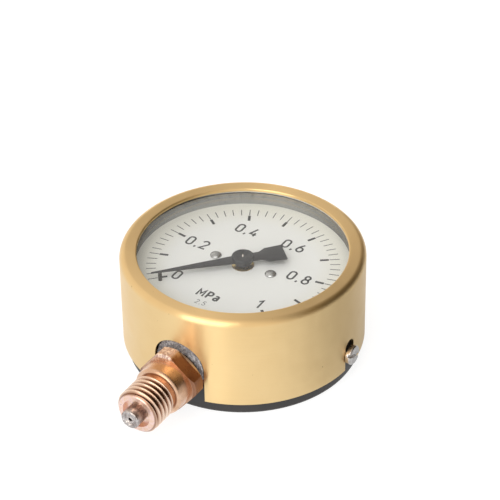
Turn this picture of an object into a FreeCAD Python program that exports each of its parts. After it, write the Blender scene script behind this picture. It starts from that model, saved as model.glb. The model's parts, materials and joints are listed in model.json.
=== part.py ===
"""Bourdon-tube pressure gauge, 63 mm size, with a radial M12 x 1.5 stem. Millimetres.

Frame: the origin is the centre of the flat back face. +Z is out of the dial, +Y is 12 o'clock,
and the stem leaves towards -Y. Each node is written to parts/NODE.step.
"""
import FreeCAD, Part
import os
from math import atan2, cos, degrees, hypot, pi, radians, sin, tan

Vec = FreeCAD.Vector
X_AXIS, Y_AXIS, Z_AXIS = Vec(1, 0, 0), Vec(0, 1, 0), Vec(0, 0, 1)

# ---- front cover: a drawn cup with a flat inturned rim, held by two side screws
COVER_R = 31.5
COVER_WALL = 0.8
COVER_BOTTOM_Z = 3.6
COVER_TOP_Z = 29.3
COVER_EDGE_R = 1.7
LIP_INNER_R = 27.1
LIP_EDGE_R = 0.3
LIP_BOTTOM_Z = COVER_TOP_Z - COVER_WALL
STEM_SLOT_HALF_W = 7.25
STEM_SLOT_TOP_Z = 20.2
SCREW_SLOT_HALF_W = 2.1
SCREW_SLOT_TOP_Z = 12.2

# ---- rear case: a moulded cup
CASE_R = 30.4
CASE_WALL = 1.5
CASE_FLOOR = 2.0
CASE_EDGE_R = 0.8
PAD_HALF_W = 6.5
PAD_Y = (-26.0, -13.0)

# ---- stack under the lip, from the lip down
SEAL_T = 0.3
GLASS_T = 1.5
DIAL_T = 0.5
DIAL_TOP_Z = 23.3
STACK_R = 30.3
SPACER_INNER_R = 27.8
SEAL_OUTER_R = 29.7
GLASS_TOP_Z = LIP_BOTTOM_Z - SEAL_T
GLASS_BOTTOM_Z = GLASS_TOP_Z - GLASS_T
DIAL_BOTTOM_Z = DIAL_TOP_Z - DIAL_T
DIAL_HOLE_R = 2.9

# ---- cover screws, at 3 and 9 o'clock
COVER_SCREW_Z = 7.8
COVER_SCREW_HEAD_R = 2.6
COVER_SCREW_HEAD_H = 1.5
COVER_SCREW_R = 1.25

# ---- stem, measured as distance from the gauge's axis along -Y
STEM_Z = 10.7
NECK_R = 5.8
NECK_START, SQUARE_START, COLLAR_START = 27.8, 31.9, 36.3
THREAD_START, STEM_END, NIPPLE_END = 41.0, 50.2, 53.2
SQUARE_ACROSS = 14.0
SQUARE_CORNER_R = 8.25
SQUARE_TURN = 52.0
COLLAR_R = 6.6
COLLAR_EDGE_R = 0.9
THREAD_R = 5.97
THREAD_PITCH = 1.5
THREAD_DEPTH = 0.6134 * THREAD_PITCH
THREAD_ROOT_R = THREAD_R - THREAD_DEPTH
RELIEF_W = 1.0
NIPPLE_R = 2.5
NIPPLE_SEAT = 5.0
NIPPLE_SEAT_R = 2.1
FACE_RECESS_R = 3.9
FACE_RECESS_DEPTH = 1.2
BORE_R = 1.25
PORT_R = 0.5

# ---- socket block inside the case
BLOCK_HALF_W = 6.0
BLOCK_HALF_T = 4.5
BLOCK_Y = (-NECK_START, -12.0)
BLOCK_TOP_Z = STEM_Z + BLOCK_HALF_T
BLOCK_BOTTOM_Z = STEM_Z - BLOCK_HALF_T
SOCKET_SCREW_X, SOCKET_SCREW_Y = 3.8, -17.0

# ---- Bourdon tube: a flat oval bent to a C, seen from the front
TUBE_R = 21.0
TUBE_W, TUBE_T, TUBE_WALL = 7.0, 2.4, 0.3
TUBE_TIP_ANGLE, TUBE_ROOT_ANGLE = -12.0, 256.0
END_PIECE_ANGLE, END_PIECE_SPAN = -20.0, 13.0
TIP_PIN_ANGLE = -17.0

# ---- movement: pinion on the gauge's axis, sector beside it
MODULE = 0.3
PINION_TEETH, SECTOR_FULL_TEETH = 10, 90
SECTOR_FIRST_TOOTH, SECTOR_LAST_TOOTH = -2, 9
ADDENDUM, DEDENDUM = 0.75 * MODULE, 1.15 * MODULE
TOOTH_SHARE = 0.40
PINION_R = MODULE * PINION_TEETH / 2
SECTOR_R = MODULE * SECTOR_FULL_TEETH / 2
SECTOR_DIRECTION = -45.0
LINK_ARM = 5.2
LINK_ARM_ANGLE = -41.3
PLATE_T = 1.0
FRONT_PLATE_T = 1.2
BACK_PLATE_Z = BLOCK_TOP_Z
FRONT_PLATE_Z = DIAL_BOTTOM_Z - FRONT_PLATE_T
PILLARS = [(-7.5, 3.0), (5.5, 7.0), (3.5, -15.0)]
MOUNT_SCREWS = [(-3.5, -14.5), (3.5, -23.0)]
DIAL_SCREW_X = 8.2
SECTOR_Z = (17.6, 18.6)
LINK_Z = (16.6, 17.3)
PINION_Z = (17.1, 19.1)
SPRING_Z = (19.7, 20.7)
COLLET_Z = (19.4, 21.0)
PIVOT_R, ARBOR_R, SHAFT_R = 0.5, 0.9, 0.8
RUNNING = 0.05
PIN_R = 0.5
OPEN_PIVOT_CLEARANCE = 0.3

# ---- hairspring
SPRING_START_R, SPRING_PITCH, SPRING_HALF_TURNS, SPRING_T = 2.2, 0.9, 9, 0.15

# ---- pointer, built pointing along +X, then turned to its rest direction
POINTER_REST = 225.6
POINTER_Z = 25.1
POINTER_T = 0.35
POINTER_TIP = 24.0
BLADE_ROOT_W, BLADE_TIP_W = 3.2, 0.35
TAIL_NECK_W, TAIL_NECK_END = 3.3, 4.6
TAIL_W, TAIL_FLARE, TAIL_END, TAIL_END_W = 5.7, 1.7, 11.0, 6.4
HUB_R, HUB_TOP_Z = 2.9, 26.3
STOP_PIN_RADIUS_AT, STOP_PIN_R = 21.9, 0.5
STOP_PIN_GAP = 0.05


# ---------------------------------------------------------------- helpers
def disc(r, z0, z1, x=0.0, y=0.0):
    return Part.makeCylinder(r, z1 - z0, Vec(x, y, z0), Z_AXIS)


def ring(outer, inner, z0, z1):
    return disc(outer, z0, z1).cut(disc(inner, z0 - 1, z1 + 1))


def box(x0, x1, y0, y1, z0, z1):
    return Part.makeBox(x1 - x0, y1 - y0, z1 - z0, Vec(x0, y0, z0))


def at_angle(radius, angle):
    return radius * cos(radians(angle)), radius * sin(radians(angle))


def line(a, b):
    return Part.makeLine(Vec(*a), Vec(*b))


def fillet_arc(centre, r, a0, a1):
    """Arc in the XZ plane, from angle a0 to a1 in degrees, measured from +X towards +Z."""
    def on_arc(a):
        return Vec(centre[0] + r * cos(radians(a)), 0, centre[1] + r * sin(radians(a)))
    return Part.Arc(on_arc(a0), on_arc((a0 + a1) / 2), on_arc(a1)).toShape()


def spun(edges, angle=360.0):
    """Solid of revolution about Z of a closed outline drawn in the XZ plane."""
    wire = Part.Wire(Part.sortEdges(edges)[0])
    return Part.Face(wire).revolve(Vec(0, 0, 0), Z_AXIS, angle)


def spun_polygon(points):
    """Solid of revolution about Z from (radius, height) corners."""
    closed = [Vec(r, 0, z) for r, z in points + points[:1]]
    return Part.Face(Part.makePolygon(closed)).revolve(Vec(0, 0, 0), Z_AXIS, 360)


def hull_plate(points, r, z0, z1):
    """Plate around the polygon of points, with corners of radius r."""
    closed = [Vec(x, y, z0) for x, y in points + points[:1]]
    face = Part.Face(Part.makePolygon(closed)).makeOffset2D(r, 0)
    return face.extrude(Vec(0, 0, z1 - z0))


def bar(a, b, half_w, z0, z1):
    """Bar with round ends between two points."""
    length = hypot(b[0] - a[0], b[1] - a[1])
    body = Part.makeBox(length, 2 * half_w, z1 - z0, Vec(0, -half_w, z0))
    body.rotate(Vec(0, 0, 0), Z_AXIS, degrees(atan2(b[1] - a[1], b[0] - a[0])))
    body.translate(Vec(a[0], a[1], 0))
    return fused([body, disc(half_w, z0, z1, *a), disc(half_w, z0, z1, *b)])


def fused(shapes):
    return shapes[0].multiFuse(shapes[1:]).removeSplitter()


def to_stem(shape):
    """Turns a shape built along +Z from the gauge's axis so that it points along -Y."""
    shape.rotate(Vec(0, 0, 0), X_AXIS, 90)
    shape.translate(Vec(0, 0, STEM_Z))
    return shape


def slot_prism(half_w, top_z, bottom_z):
    """Arch-topped prism along +Y, for cutting a wall: the outline of a U slot upside down."""
    arch_z = top_z - half_w
    block = box(-half_w, half_w, 0, 20, bottom_z, arch_z)
    arch = Part.makeCylinder(half_w, 20, Vec(0, 0, arch_z), Y_AXIS)
    return block.fuse(arch)


def pan_screw(head_r, head_h, shank_r, length, slot_w):
    """Slotted screw along Z: the head stands on z = 0 and the shank goes down."""
    slot_depth = 0.45 * head_h
    round_r = 0.35 * head_h
    head = spun([
        line((0, 0, 0), (head_r, 0, 0)),
        line((head_r, 0, 0), (head_r, 0, head_h - round_r)),
        fillet_arc((head_r - round_r, head_h - round_r), round_r, 0, 90),
        line((head_r - round_r, 0, head_h), (0, 0, head_h)),
        line((0, 0, head_h), (0, 0, 0)),
    ])
    slot = box(-head_r - 1, head_r + 1, -slot_w / 2, slot_w / 2, head_h - slot_depth, head_h + 1)
    return fused([head.cut(slot), disc(shank_r, -length, 0.01)])


# ---------------------------------------------------------------- outer case
def rear_case():
    z_top = DIAL_BOTTOM_Z
    inner = CASE_R - CASE_WALL
    body = spun([
        line((0, 0, 0), (CASE_R - CASE_EDGE_R, 0, 0)),
        fillet_arc((CASE_R - CASE_EDGE_R, CASE_EDGE_R), CASE_EDGE_R, -90, 0),
        line((CASE_R, 0, CASE_EDGE_R), (CASE_R, 0, z_top)),
        line((CASE_R, 0, z_top), (inner, 0, z_top)),
        line((inner, 0, z_top), (inner, 0, CASE_FLOOR)),
        line((inner, 0, CASE_FLOOR), (0, 0, CASE_FLOOR)),
        line((0, 0, CASE_FLOOR), (0, 0, 0)),
    ])
    pad = box(-PAD_HALF_W, PAD_HALF_W, PAD_Y[0], PAD_Y[1], CASE_FLOOR - 0.5, BLOCK_BOTTOM_Z)
    bosses = []
    holes = []
    for side in (-1, 1):
        boss = Part.makeCylinder(3.0, 3.5, Vec(side * (inner + 0.7), 0, COVER_SCREW_Z), Vec(-side, 0, 0))
        bosses.append(boss)
        holes.append(Part.makeCylinder(COVER_SCREW_R, 10, Vec(side * 34, 0, COVER_SCREW_Z), Vec(-side, 0, 0)))
        holes.append(disc(COVER_SCREW_R, -1, BLOCK_BOTTOM_Z + 1, side * SOCKET_SCREW_X, SOCKET_SCREW_Y))
        holes.append(disc(2.4, -1, 1.6, side * SOCKET_SCREW_X, SOCKET_SCREW_Y))
    body = fused([body, pad] + bosses)
    notch_r = STEM_SLOT_HALF_W - 0.05
    notch = box(-notch_r, notch_r, -35, -26.5, STEM_Z, z_top + 1)
    notch = notch.fuse(Part.makeCylinder(notch_r, 8.5, Vec(0, -35, STEM_Z), Y_AXIS))
    for cutter in [notch] + holes:
        body = body.cut(cutter)
    return body


def front_cover():
    flange_r = COVER_R - COVER_EDGE_R
    edge_z = COVER_TOP_Z - COVER_EDGE_R
    inner_r = COVER_R - COVER_WALL
    inner_edge = COVER_EDGE_R - COVER_WALL
    lip_r = LIP_INNER_R + LIP_EDGE_R
    lip_z = COVER_TOP_Z - LIP_EDGE_R
    shell = spun([
        line((inner_r, 0, COVER_BOTTOM_Z), (COVER_R, 0, COVER_BOTTOM_Z)),
        line((COVER_R, 0, COVER_BOTTOM_Z), (COVER_R, 0, edge_z)),
        fillet_arc((flange_r, edge_z), COVER_EDGE_R, 0, 90),
        line((flange_r, 0, COVER_TOP_Z), (lip_r, 0, COVER_TOP_Z)),
        fillet_arc((lip_r, lip_z), LIP_EDGE_R, 90, 180),
        line((LIP_INNER_R, 0, lip_z), (LIP_INNER_R, 0, LIP_BOTTOM_Z)),
        line((LIP_INNER_R, 0, LIP_BOTTOM_Z), (flange_r, 0, LIP_BOTTOM_Z)),
        fillet_arc((flange_r, edge_z), inner_edge, 90, 0),
        line((inner_r, 0, edge_z), (inner_r, 0, COVER_BOTTOM_Z)),
    ])
    stem_slot = slot_prism(STEM_SLOT_HALF_W, STEM_SLOT_TOP_Z, 0)
    stem_slot.translate(Vec(0, -40, 0))
    shell = shell.cut(stem_slot)
    for turn in (-90, 90):
        screw_slot = slot_prism(SCREW_SLOT_HALF_W, SCREW_SLOT_TOP_Z, 0)
        screw_slot.translate(Vec(0, 20, 0))
        screw_slot.rotate(Vec(0, 0, 0), Z_AXIS, turn)
        shell = shell.cut(screw_slot)
    return shell


def cover_screws():
    screws = []
    for side in (-1, 1):
        screw = pan_screw(COVER_SCREW_HEAD_R, COVER_SCREW_HEAD_H, COVER_SCREW_R, 5.0, 0.9)
        screw.rotate(Vec(0, 0, 0), Z_AXIS, 25 + 40 * side)
        screw.rotate(Vec(0, 0, 0), Y_AXIS, side * 90)
        screw.translate(Vec(side * COVER_R, 0, COVER_SCREW_Z))
        screws.append(screw)
    return Part.makeCompound(screws)


def window_seal():
    return ring(SEAL_OUTER_R, LIP_INNER_R + 0.1, GLASS_TOP_Z, LIP_BOTTOM_Z)


def window_glass():
    return disc(STACK_R, GLASS_BOTTOM_Z, GLASS_TOP_Z)


def spacer_ring():
    return ring(STACK_R, SPACER_INNER_R, DIAL_TOP_Z, GLASS_BOTTOM_Z)


def dial_plate():
    plate = disc(STACK_R, DIAL_BOTTOM_Z, DIAL_TOP_Z)
    plate = plate.cut(disc(DIAL_HOLE_R, 0, 40))
    for side in (-1, 1):
        plate = plate.cut(disc(0.8, 0, 40, side * DIAL_SCREW_X, 0))
    return plate.cut(disc(STOP_PIN_R, 0, 40, *stop_pin_place()))


def dial_screws():
    dome_r, dome_h = 1.5, 0.75
    sphere_r = (dome_r ** 2 + dome_h ** 2) / (2 * dome_h)
    screws = []
    for side in (-1, 1):
        centre = Vec(side * DIAL_SCREW_X, 0, DIAL_TOP_Z + dome_h - sphere_r)
        dome = Part.makeSphere(sphere_r, centre)
        dome = dome.common(disc(dome_r, DIAL_TOP_Z, DIAL_TOP_Z + dome_h, side * DIAL_SCREW_X, 0))
        shank = disc(0.8, FRONT_PLATE_Z, DIAL_TOP_Z + 0.1, side * DIAL_SCREW_X, 0)
        screws.append(fused([dome, shank]))
    return Part.makeCompound(screws)


def stop_pin_place():
    """The pin touches the blade's edge, on the side away from the scale."""
    share = (POINTER_TIP - STOP_PIN_RADIUS_AT) / (POINTER_TIP - HUB_R)
    half_blade = (BLADE_TIP_W + (BLADE_ROOT_W - BLADE_TIP_W) * share) / 2
    offset = half_blade + STOP_PIN_R + STOP_PIN_GAP
    return at_angle(STOP_PIN_RADIUS_AT, POINTER_REST + degrees(offset / STOP_PIN_RADIUS_AT))


def zero_stop_pin():
    return disc(STOP_PIN_R, DIAL_BOTTOM_Z, POINTER_Z + POINTER_T + 0.2, *stop_pin_place())


# ---------------------------------------------------------------- stem
def thread_groove():
    start = THREAD_START + RELIEF_W / 2
    outer_r = THREAD_R + 0.1
    half_root = THREAD_PITCH / 16
    half_outer = half_root + (outer_r - THREAD_ROOT_R) * tan(radians(30))
    helix = Part.makeHelix(THREAD_PITCH, STEM_END - start + 1.2, THREAD_ROOT_R)
    corners = [(THREAD_ROOT_R, -half_root), (outer_r, -half_outer),
               (outer_r, half_outer), (THREAD_ROOT_R, half_root)]
    profile = Part.makePolygon([Vec(r, 0, z) for r, z in corners + corners[:1]])
    sweep = Part.BRepOffsetAPI.MakePipeShell(Part.Wire(helix))
    sweep.setFrenetMode(True)
    sweep.add(profile, False, False)
    sweep.build()
    sweep.makeSolid()
    groove = sweep.shape()
    if groove.Volume < 0:
        groove.reverse()
    groove.translate(Vec(0, 0, start))
    return groove


def threaded_end():
    chamfer = THREAD_DEPTH
    relief_end = THREAD_START + RELIEF_W
    blank = spun_polygon([
        (0, COLLAR_START), (THREAD_ROOT_R, COLLAR_START), (THREAD_ROOT_R, relief_end),
        (THREAD_R, relief_end + 0.6), (THREAD_R, STEM_END - chamfer),
        (THREAD_R - chamfer, STEM_END), (0, STEM_END),
    ])
    return blank.cut(thread_groove())


def wrench_square():
    half = SQUARE_ACROSS / 2
    turned = spun_polygon([
        (0, SQUARE_START), (half - 0.2, SQUARE_START), (SQUARE_CORNER_R, SQUARE_START + 0.8),
        (SQUARE_CORNER_R, COLLAR_START - 0.4), (half + 0.4, COLLAR_START), (0, COLLAR_START),
    ])
    flats = box(-half, half, -half, half, SQUARE_START, COLLAR_START)
    flats.rotate(Vec(0, 0, 0), Z_AXIS, SQUARE_TURN)
    return turned.common(flats)


def collar():
    inner_r = COLLAR_R - COLLAR_EDGE_R
    low, high = COLLAR_START, THREAD_START
    return spun([
        line((0, 0, low), (COLLAR_R, 0, low)),
        line((COLLAR_R, 0, low), (COLLAR_R, 0, high - COLLAR_EDGE_R)),
        fillet_arc((inner_r, high - COLLAR_EDGE_R), COLLAR_EDGE_R, 0, 90),
        line((inner_r, 0, high), (0, 0, high)),
        line((0, 0, high), (0, 0, low)),
    ])


def socket_stem():
    neck = disc(NECK_R, NECK_START - 0.5, SQUARE_START)
    body = to_stem(fused([threaded_end(), collar(), wrench_square(), neck]))
    block = box(-BLOCK_HALF_W, BLOCK_HALF_W, BLOCK_Y[0], BLOCK_Y[1], BLOCK_BOTTOM_Z, BLOCK_TOP_Z)
    body = fused([body, block])
    cutters = [
        to_stem(disc(BORE_R, 18.0, STEM_END + 1)),
        to_stem(disc(NIPPLE_SEAT_R, STEM_END - NIPPLE_SEAT, STEM_END + 1)),
        to_stem(disc(FACE_RECESS_R, STEM_END - FACE_RECESS_DEPTH, STEM_END + 1)),
        Part.makeCylinder(0.8, 6.0, Vec(0, -TUBE_R + 0.8, STEM_Z), -X_AXIS),
        tube_solid(TUBE_W, TUBE_T),
    ]
    for side in (-1, 1):
        cutters.append(disc(COVER_SCREW_R, 0, 11.0, side * SOCKET_SCREW_X, SOCKET_SCREW_Y))
    for x, y in MOUNT_SCREWS:
        cutters.append(disc(0.9, BLOCK_TOP_Z - 2.2, BLOCK_TOP_Z + 1, x, y))
    for cutter in cutters:
        body = body.cut(cutter)
    return body


def inlet_nipple():
    start = STEM_END - NIPPLE_SEAT
    shoulder = STEM_END - FACE_RECESS_DEPTH
    blank = spun_polygon([
        (0, start), (NIPPLE_SEAT_R, start), (NIPPLE_SEAT_R, shoulder), (NIPPLE_R, shoulder),
        (NIPPLE_R, NIPPLE_END - 0.3), (NIPPLE_R - 0.3, NIPPLE_END), (0, NIPPLE_END),
    ])
    return to_stem(blank.cut(disc(PORT_R, start - 1, NIPPLE_END + 1)))


def stem_seal():
    """Saddle of sealing compound that fills the top of the stem's slot."""
    saddle = slot_prism(STEM_SLOT_HALF_W - 0.12, STEM_SLOT_TOP_Z - 0.12, STEM_Z)
    saddle.translate(Vec(0, -40, 0))
    saddle = saddle.common(ring(COVER_R - 0.3, CASE_R - 1.2, 0, 30))
    return saddle.cut(to_stem(disc(NECK_R, 20, 40)))


def socket_screws():
    screws = []
    for side in (-1, 1):
        screw = pan_screw(2.2, 1.3, COVER_SCREW_R, 9.0, 0.8)
        screw.rotate(Vec(0, 0, 0), X_AXIS, 180)
        screw.translate(Vec(side * SOCKET_SCREW_X, SOCKET_SCREW_Y, 1.6))
        screws.append(screw)
    return Part.makeCompound(screws)


# ---------------------------------------------------------------- tube
def oval_face(width, thick):
    """Flat oval across the tube, at angle 0, with its long side along Z."""
    half_t = thick / 2
    half_flat = width / 2 - half_t
    top, bottom = STEM_Z + half_flat, STEM_Z - half_flat
    edges = [
        line((TUBE_R + half_t, 0, bottom), (TUBE_R + half_t, 0, top)),
        fillet_arc((TUBE_R, top), half_t, 0, 180),
        line((TUBE_R - half_t, 0, top), (TUBE_R - half_t, 0, bottom)),
        fillet_arc((TUBE_R, bottom), half_t, 180, 360),
    ]
    return Part.Face(Part.Wire(Part.sortEdges(edges)[0]))


def tube_solid(width, thick):
    solid = oval_face(width, thick).revolve(Vec(0, 0, 0), Z_AXIS, TUBE_ROOT_ANGLE - TUBE_TIP_ANGLE)
    solid.rotate(Vec(0, 0, 0), Z_AXIS, TUBE_TIP_ANGLE)
    return solid


def bourdon_tube():
    return tube_solid(TUBE_W, TUBE_T).cut(tube_solid(TUBE_W - 2 * TUBE_WALL, TUBE_T - 2 * TUBE_WALL))


def tip_pin_place():
    return at_angle(TUBE_R, TIP_PIN_ANGLE)


def tube_end_piece():
    half_w = TUBE_W / 2 + 0.7
    sleeve = ring(TUBE_R + 1.9, TUBE_R - 1.9, STEM_Z - half_w, STEM_Z + half_w)
    wedge = Part.makeCylinder(40, 40, Vec(0, 0, 0), Z_AXIS, END_PIECE_SPAN)
    wedge.rotate(Vec(0, 0, 0), Z_AXIS, END_PIECE_ANGLE)
    body = sleeve.common(wedge)
    boss = disc(1.6, STEM_Z + half_w - 0.5, LINK_Z[0] - 0.3, *tip_pin_place())
    body = fused([body, boss]).cut(tube_solid(TUBE_W + 0.1, TUBE_T + 0.1))
    return body.cut(disc(PIN_R, STEM_Z + 1.5, 30, *tip_pin_place()))


def tip_link_pin():
    x, y = tip_pin_place()
    head = disc(1.1, LINK_Z[1] + 0.3, LINK_Z[1] + 0.7, x, y)
    return fused([disc(PIN_R, STEM_Z + 1.5, LINK_Z[1] + 0.4, x, y), head])


# ---------------------------------------------------------------- movement
def sector_pivot():
    return at_angle(PINION_R + SECTOR_R, SECTOR_DIRECTION)


def arm_pin_place():
    x, y = sector_pivot()
    dx, dy = at_angle(LINK_ARM, LINK_ARM_ANGLE)
    return x + dx, y + dy


def tooth(pitch_r, z0, z1, angle):
    """One tooth pointing along +X from a wheel at the origin, then turned."""
    half_pitch = TOOTH_SHARE * pi * MODULE / 2
    root, tip = pitch_r - DEDENDUM - 0.1, pitch_r + ADDENDUM
    slope = 0.36
    half_root = half_pitch + slope * (pitch_r - root)
    half_tip = max(0.08, half_pitch - 1.25 * slope * (tip - pitch_r))
    corners = [(root, -half_root), (pitch_r, -half_pitch), (tip, -half_tip),
               (tip, half_tip), (pitch_r, half_pitch), (root, half_root)]
    outline = Part.makePolygon([Vec(x, y, z0) for x, y in corners + corners[:1]])
    solid = Part.Face(outline).extrude(Vec(0, 0, z1 - z0))
    solid.rotate(Vec(0, 0, 0), Z_AXIS, angle)
    return solid


def pinion_arbor():
    step = 360.0 / PINION_TEETH
    teeth = [disc(PINION_R - DEDENDUM, *PINION_Z)]
    for k in range(PINION_TEETH):
        teeth.append(tooth(PINION_R, *PINION_Z, SECTOR_DIRECTION + (k + 0.5) * step))
    shaft = [
        disc(PIVOT_R, BACK_PLATE_Z + 0.1, BACK_PLATE_Z + PLATE_T + 0.3),
        disc(ARBOR_R, BACK_PLATE_Z + PLATE_T + 0.2, FRONT_PLATE_Z - 0.3),
        disc(SHAFT_R, FRONT_PLATE_Z - 0.4, HUB_TOP_Z - 0.5),
    ]
    return fused(teeth + shaft)


def sector_gear():
    px, py = sector_pivot()
    z0, z1 = SECTOR_Z
    step = 360.0 / SECTOR_FULL_TEETH
    facing = SECTOR_DIRECTION + 180
    rim_r = SECTOR_R - DEDENDUM
    first = facing - (SECTOR_LAST_TOOTH + 0.6) * step
    last = facing - (SECTOR_FIRST_TOOTH - 0.6) * step
    rim = Part.makeCylinder(rim_r, z1 - z0, Vec(0, 0, z0), Z_AXIS, last - first)
    rim.rotate(Vec(0, 0, 0), Z_AXIS, first)
    rim = rim.cut(disc(rim_r - 1.8, 0, 40))
    pieces = [rim, disc(2.6, z0, z1)]
    for angle in (first + 4, last - 4):
        pieces.append(bar((0, 0), at_angle(rim_r - 0.9, angle), 0.9, z0, z1))
    pieces.append(bar((0, 0), at_angle(LINK_ARM, LINK_ARM_ANGLE), 1.3, z0, z1))
    for k in range(SECTOR_FIRST_TOOTH, SECTOR_LAST_TOOTH + 1):
        pieces.append(tooth(SECTOR_R, z0, z1, facing - k * step))
    gear = fused(pieces)
    gear.translate(Vec(px, py, 0))
    return gear.cut(disc(ARBOR_R, 0, 40, px, py)).cut(disc(PIN_R, 0, 40, *arm_pin_place()))


def sector_arbor():
    x, y = sector_pivot()
    return fused([
        disc(PIVOT_R, BACK_PLATE_Z + 0.1, BACK_PLATE_Z + PLATE_T + 0.3, x, y),
        disc(ARBOR_R, BACK_PLATE_Z + PLATE_T + 0.2, FRONT_PLATE_Z - 0.2, x, y),
        disc(PIVOT_R, FRONT_PLATE_Z - 0.3, FRONT_PLATE_Z + FRONT_PLATE_T - 0.1, x, y),
    ])


def sector_link_pin():
    x, y = arm_pin_place()
    head = disc(0.95, LINK_Z[0] - 0.45, LINK_Z[0] - 0.05, x, y)
    return fused([disc(PIN_R, LINK_Z[0] - 0.2, SECTOR_Z[1] + 0.2, x, y), head])


def connecting_link():
    start, end = arm_pin_place(), tip_pin_place()
    plate = bar(start, end, 0.8, *LINK_Z)
    eyes = [disc(1.3, *LINK_Z, *start), disc(1.5, *LINK_Z, *end)]
    plate = fused([plate] + eyes)
    plate = plate.cut(disc(PIN_R + RUNNING, 0, 40, *start))
    return plate.cut(disc(PIN_R + OPEN_PIVOT_CLEARANCE, 0, 40, *end))


def movement_back_plate():
    z0, z1 = BACK_PLATE_Z, BACK_PLATE_Z + PLATE_T
    sector = sector_pivot()
    corners = [PILLARS[0], MOUNT_SCREWS[0], PILLARS[2], sector, PILLARS[1]]
    tongue = bar(PILLARS[2], MOUNT_SCREWS[1], 2.4, z0, z1)
    plate = fused([hull_plate(corners, 2.2, z0, z1), tongue])
    holes = [disc(PIVOT_R + RUNNING, 0, 40), disc(PIVOT_R + RUNNING, 0, 40, *sector)]
    holes += [disc(0.9, 0, 40, x, y) for x, y in MOUNT_SCREWS]
    for hole in holes:
        plate = plate.cut(hole)
    return plate


def movement_front_plate():
    z0, z1 = FRONT_PLATE_Z, FRONT_PLATE_Z + FRONT_PLATE_T
    sector = sector_pivot()
    corners = [(-DIAL_SCREW_X, 0), PILLARS[0], PILLARS[1], (DIAL_SCREW_X, 0), sector, PILLARS[2]]
    plate = hull_plate(corners, 2.2, z0, z1)
    holes = [disc(1.9, 0, 40), disc(PIVOT_R + RUNNING, 0, 40, *sector)]
    holes += [disc(0.8, 0, 40, side * DIAL_SCREW_X, 0) for side in (-1, 1)]
    holes += [disc(0.7, 0, 40, x, y) for x, y in PILLARS]
    for hole in holes:
        plate = plate.cut(hole)
    return plate


def centre_bush():
    """Brass bearing pressed into the front plate; its flange shows in the dial's hole."""
    body = spun_polygon([
        (SHAFT_R + RUNNING, FRONT_PLATE_Z), (1.9, FRONT_PLATE_Z),
        (1.9, FRONT_PLATE_Z + FRONT_PLATE_T), (DIAL_HOLE_R - 0.15, FRONT_PLATE_Z + FRONT_PLATE_T),
        (DIAL_HOLE_R - 0.15, DIAL_TOP_Z + 0.15), (SHAFT_R + RUNNING, DIAL_TOP_Z + 0.45),
    ])
    return body


def movement_pillars():
    z0, z1 = BACK_PLATE_Z + PLATE_T, FRONT_PLATE_Z
    return Part.makeCompound([disc(1.5, z0, z1, x, y).cut(disc(0.7, z1 - 3, z1 + 1, x, y))
                              for x, y in PILLARS])


def movement_screws():
    """Countersunk screws, flush with the front plate, since the dial lies on it."""
    screws = []
    for x, y in PILLARS:
        screws.append(disc(0.7, FRONT_PLATE_Z - 2.5, FRONT_PLATE_Z + FRONT_PLATE_T - 0.1, x, y))
    return Part.makeCompound(screws)


def movement_mount_screws():
    screws = []
    for x, y in MOUNT_SCREWS:
        screw = pan_screw(1.7, 1.0, 0.9, 3.0, 0.5)
        screw.translate(Vec(x, y, BACK_PLATE_Z + PLATE_T))
        screws.append(screw)
    return Part.makeCompound(screws)


# ---------------------------------------------------------------- hairspring
def spiral_centre(k):
    return -SPRING_PITCH / 4 if k % 2 == 0 else SPRING_PITCH / 4


def spiral_arc(k, offset):
    """Half turn number k of a two-centre spiral, moved out by offset."""
    r = SPRING_START_R + k * SPRING_PITCH / 2 + offset
    cx = spiral_centre(k)
    side = 1 if k % 2 == 0 else -1
    ends = Vec(cx + side * r, 0, SPRING_Z[0]), Vec(cx - side * r, 0, SPRING_Z[0])
    return Part.Arc(ends[0], Vec(cx, side * r, SPRING_Z[0]), ends[1]).toShape()


def spring_end():
    """Where the outer end of the hairspring is, in X."""
    k = SPRING_HALF_TURNS - 1
    side = 1 if k % 2 == 0 else -1
    return spiral_centre(k) - side * (SPRING_START_R + k * SPRING_PITCH / 2)


def hairspring():
    half = SPRING_T / 2
    edges = []
    for offset in (-half, half):
        edges += [spiral_arc(k, offset) for k in range(SPRING_HALF_TURNS)]
    start_x = spiral_centre(0) + SPRING_START_R
    z = SPRING_Z[0]
    edges.append(line((start_x - half, 0, z), (start_x + half, 0, z)))
    edges.append(line((spring_end() - half, 0, z), (spring_end() + half, 0, z)))
    wire = Part.Wire(Part.sortEdges(edges)[0])
    return Part.Face(wire).extrude(Vec(0, 0, SPRING_Z[1] - SPRING_Z[0]))


def hairspring_stud():
    x = spring_end()
    post = disc(0.7, SPRING_Z[0] - 0.2, FRONT_PLATE_Z, x, 0)
    return post.cut(hairspring())


def hairspring_collet():
    outer = SPRING_START_R + spiral_centre(0) - SPRING_T / 2
    return ring(outer, ARBOR_R, *COLLET_Z)


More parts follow.
